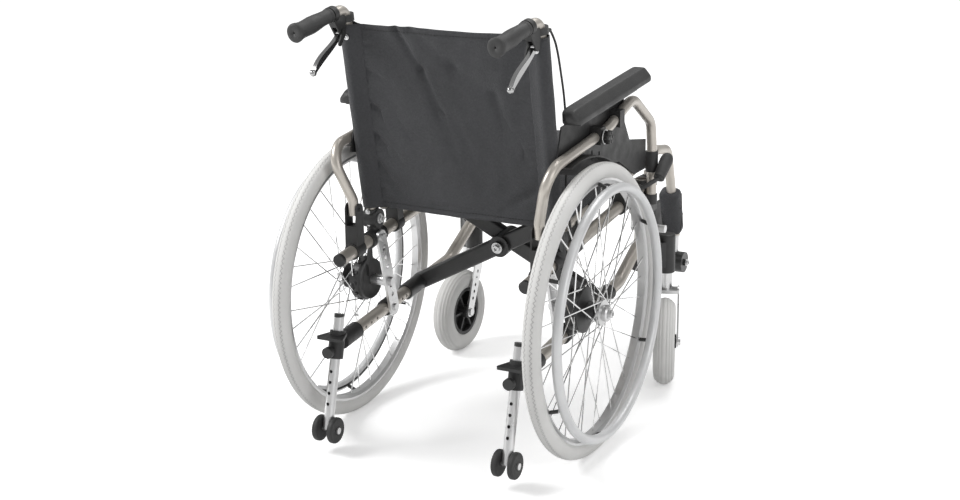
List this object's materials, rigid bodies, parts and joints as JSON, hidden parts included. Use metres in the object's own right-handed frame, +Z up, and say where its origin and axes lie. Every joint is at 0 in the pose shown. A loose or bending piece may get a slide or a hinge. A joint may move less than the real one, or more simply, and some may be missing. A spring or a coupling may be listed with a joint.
{
  "type": "folding wheelchair",
  "caption": "Folding wheelchair with drum-brake rear wheels, swivel casters, flip-up armrests, swing-away legrests and an X-brace that folds the seat.",
  "frame": {"origin": "on the ground, at the middle of the overall width and length", "axes": "+X to the right of the sitter, +Y forward, +Z up"},
  "size_m": [0.662, 1.0719, 0.9183],
  "materials": {
    "frame_paint": "satin metallic champagne",
    "black_paint": "satin",
    "black_plastic": "matte",
    "soft_grip": "matte",
    "black_rubber": "matte",
    "arm_foam": "fine leather grain",
    "silver_metal": "satin",
    "handrim_coat": "satin",
    "grey_tyre": "matte",
    "black_fabric": "woven nylon"
  },
  "bodies": {
    "right_frame": {"right_side_frame": "frame_paint", "right_back_cane": "frame_paint", "right_push_grip": "soft_grip", "right_frame_fittings": "black_plastic", "right_axle_plate": "silver_metal", "right_caster_housing": "black_plastic", "right_brake_drum": "black_plastic", "right_brake_cable": "black_rubber", "back_upholstery": "black_fabric"},
    "brace_b": {"brace_b": "black_paint", "left_seat_rail": "frame_paint"},
    "brace_a": {"brace_a": "black_paint", "right_seat_rail": "frame_paint", "seat_upholstery": "black_fabric"},
    "left_frame": {"left_side_frame": "frame_paint", "left_back_cane": "frame_paint", "left_push_grip": "soft_grip", "left_frame_fittings": "black_plastic", "left_axle_plate": "silver_metal", "left_caster_housing": "black_plastic", "left_brake_drum": "black_plastic", "left_brake_cable": "black_rubber"},
    "right_rear_wheel": {"right_rear_tyre": "grey_tyre", "right_wheel_rim": "silver_metal", "right_handrim": "handrim_coat", "right_wheel_hub": "black_plastic"},
    "right_caster_swivel": {"right_caster_fork": "silver_metal"},
    "right_caster_wheel": {"right_caster_tyre": "grey_tyre", "right_caster_hub": "black_plastic"},
    "right_armrest": {"right_arm_tube": "frame_paint", "right_arm_pad": "arm_foam", "right_side_guard": "black_plastic"},
    "right_legrest": {"right_legrest_hanger": "frame_paint", "right_calf_pad": "black_fabric"},
    "right_footplate": {"right_footplate": "black_plastic"},
    "right_lock_lever": {"right_wheel_lock_lever": "soft_grip"},
    "right_lock_shoe": {"right_brake_shoe": "silver_metal"},
    "right_brake_lever": {"right_hand_lever": "silver_metal"},
    "right_park_catch": {"right_park_catch": "black_plastic"},
    "right_antitip": {"right_antitip_tube": "silver_metal"},
    "right_antitip_wheel": {"right_antitip_wheels": "black_rubber"},
    "left_rear_wheel": {"left_rear_tyre": "grey_tyre", "left_wheel_rim": "silver_metal", "left_handrim": "handrim_coat", "left_wheel_hub": "black_plastic"},
    "left_caster_swivel": {"left_caster_fork": "silver_metal"},
    "left_caster_wheel": {"left_caster_tyre": "grey_tyre", "left_caster_hub": "black_plastic"},
    "left_armrest": {"left_arm_tube": "frame_paint", "left_arm_pad": "arm_foam", "left_side_guard": "black_plastic"},
    "left_legrest": {"left_legrest_hanger": "frame_paint", "left_calf_pad": "black_fabric"},
    "left_footplate": {"left_footplate": "black_plastic"},
    "left_lock_lever": {"left_wheel_lock_lever": "soft_grip"},
    "left_lock_shoe": {"left_brake_shoe": "silver_metal"},
    "left_brake_lever": {"left_hand_lever": "silver_metal"},
    "left_park_catch": {"left_park_catch": "black_plastic"},
    "left_antitip": {"left_antitip_tube": "silver_metal"},
    "left_antitip_wheel": {"left_antitip_wheels": "black_rubber"}
  },
  "joints": [
    {"name": "fold", "type": "hinge", "parent": "right_frame", "child": "brace_b", "pos_m": [0.213, -0.0321, 0.26091], "axis": [0, 0.9945, 0.1045], "range_deg": [0, 45], "deforming": ["seat_upholstery", "back_upholstery"]},
    {"name": "brace_cross", "type": "hinge", "parent": "brace_b", "child": "brace_a", "pos_m": [0, -0.06206, 0.37376], "axis": [0, 0.9945, 0.1045], "range_deg": [-90, 0]},
    {"name": "left_fold", "type": "hinge", "parent": "brace_a", "child": "left_frame", "pos_m": [-0.213, -0.0669, 0.25725], "axis": [0, 0.9945, 0.1045], "range_deg": [0, 45]},
    {"name": "right_wheel_spin", "type": "hinge", "parent": "right_frame", "child": "right_rear_wheel", "pos_m": [0.282, -0.231, 0.305], "axis": [1, 0, 0], "continuous": true},
    {"name": "right_caster_swivel", "type": "hinge", "parent": "right_frame", "child": "right_caster_swivel", "pos_m": [0.256, 0.247, 0.252], "axis": [0, 0, 1], "continuous": true},
    {"name": "right_caster_spin", "type": "hinge", "parent": "right_caster_swivel", "child": "right_caster_wheel", "pos_m": [0.2731, 0.20001, 0.1], "axis": [0.9397, 0.342, 0], "continuous": true},
    {"name": "right_armrest_flip", "type": "hinge", "parent": "right_frame", "child": "right_armrest", "pos_m": [0.214, -0.336, 0.49], "axis": [1, 0, 0], "range_deg": [0, 85]},
    {"name": "right_legrest_swing", "type": "hinge", "parent": "right_frame", "child": "right_legrest", "pos_m": [0.213, 0.247, 0.478], "axis": [0, 0, -1], "range_deg": [0, 90]},
    {"name": "right_footplate_fold", "type": "hinge", "parent": "right_legrest", "child": "right_footplate", "pos_m": [0.163, 0.459, 0.203], "axis": [0, 1, 0], "range_deg": [-90, 0]},
    {"name": "right_wheel_lock", "type": "hinge", "parent": "right_frame", "child": "right_lock_lever", "pos_m": [0.236, 0.119, 0.458], "axis": [-1, 0, 0], "range_deg": [0, 45]},
    {"name": "right_lock_shoe", "type": "hinge", "parent": "right_frame", "child": "right_lock_shoe", "pos_m": [0.242, 0.085, 0.456], "axis": [-1, 0, 0], "range_deg": [0, 15.67]},
    {"name": "right_brake_squeeze", "type": "hinge", "parent": "right_frame", "child": "right_brake_lever", "pos_m": [0.216, -0.362, 0.862], "axis": [-1, 0, 0], "range_deg": [0, 20], "stiffness_Nm_per_rad": 0.4, "springref_deg": -8.59},
    {"name": "right_park_catch_turn", "type": "hinge", "parent": "right_frame", "child": "right_park_catch", "pos_m": [0.205, -0.362, 0.862], "axis": [-1, 0, 0], "range_deg": [0, 30]},
    {"name": "right_antitip_height", "type": "slide", "parent": "right_frame", "child": "right_antitip", "axis": [0, 0.2553, 0.9669], "range_m": [0, 0.075]},
    {"name": "right_antitip_spin", "type": "hinge", "parent": "right_antitip", "child": "right_antitip_wheel", "pos_m": [0.208, -0.477, 0.052], "axis": [1, 0, 0], "continuous": true},
    {"name": "left_wheel_spin", "type": "hinge", "parent": "left_frame", "child": "left_rear_wheel", "pos_m": [-0.282, -0.231, 0.305], "axis": [1, 0, 0], "continuous": true},
    {"name": "left_caster_swivel", "type": "hinge", "parent": "left_frame", "child": "left_caster_swivel", "pos_m": [-0.256, 0.247, 0.252], "axis": [0, 0, 1], "continuous": true},
    {"name": "left_caster_spin", "type": "hinge", "parent": "left_caster_swivel", "child": "left_caster_wheel", "pos_m": [-0.25801, 0.19704, 0.1], "axis": [0.9992, -0.0401, 0], "continuous": true},
    {"name": "left_armrest_flip", "type": "hinge", "parent": "left_frame", "child": "left_armrest", "pos_m": [-0.214, -0.336, 0.49], "axis": [1, 0, 0], "range_deg": [0, 85]},
    {"name": "left_legrest_swing", "type": "hinge", "parent": "left_frame", "child": "left_legrest", "pos_m": [-0.213, 0.247, 0.478], "axis": [0, 0, 1], "range_deg": [0, 90]},
    {"name": "left_footplate_fold", "type": "hinge", "parent": "left_legrest", "child": "left_footplate", "pos_m": [-0.163, 0.459, 0.203], "axis": [0, -1, 0], "range_deg": [-90, 0]},
    {"name": "left_wheel_lock", "type": "hinge", "parent": "left_frame", "child": "left_lock_lever", "pos_m": [-0.236, 0.119, 0.458], "axis": [-1, 0, 0], "range_deg": [0, 45]},
    {"name": "left_lock_shoe", "type": "hinge", "parent": "left_frame", "child": "left_lock_shoe", "pos_m": [-0.242, 0.085, 0.456], "axis": [-1, 0, 0], "range_deg": [0, 15.67]},
    {"name": "left_brake_squeeze", "type": "hinge", "parent": "left_frame", "child": "left_brake_lever", "pos_m": [-0.216, -0.362, 0.862], "axis": [-1, 0, 0], "range_deg": [0, 20], "stiffness_Nm_per_rad": 0.4, "springref_deg": -8.59},
    {"name": "left_park_catch_turn", "type": "hinge", "parent": "left_frame", "child": "left_park_catch", "pos_m": [-0.205, -0.362, 0.862], "axis": [-1, 0, 0], "range_deg": [0, 30]},
    {"name": "left_antitip_height", "type": "slide", "parent": "left_frame", "child": "left_antitip", "axis": [0, 0.2553, 0.9669], "range_m": [0, 0.075]},
    {"name": "left_antitip_spin", "type": "hinge", "parent": "left_antitip", "child": "left_antitip_wheel", "pos_m": [-0.208, -0.477, 0.052], "axis": [1, 0, 0], "continuous": true}
  ],
  "couplings": [
    {"joint": "brace_cross", "follows": "fold", "ratio": -2},
    {"joint": "left_fold", "follows": "fold", "ratio": 1},
    {"joint": "right_lock_shoe", "follows": "right_wheel_lock", "ratio": 0.34822},
    {"joint": "left_lock_shoe", "follows": "left_wheel_lock", "ratio": 0.34822}
  ]
}
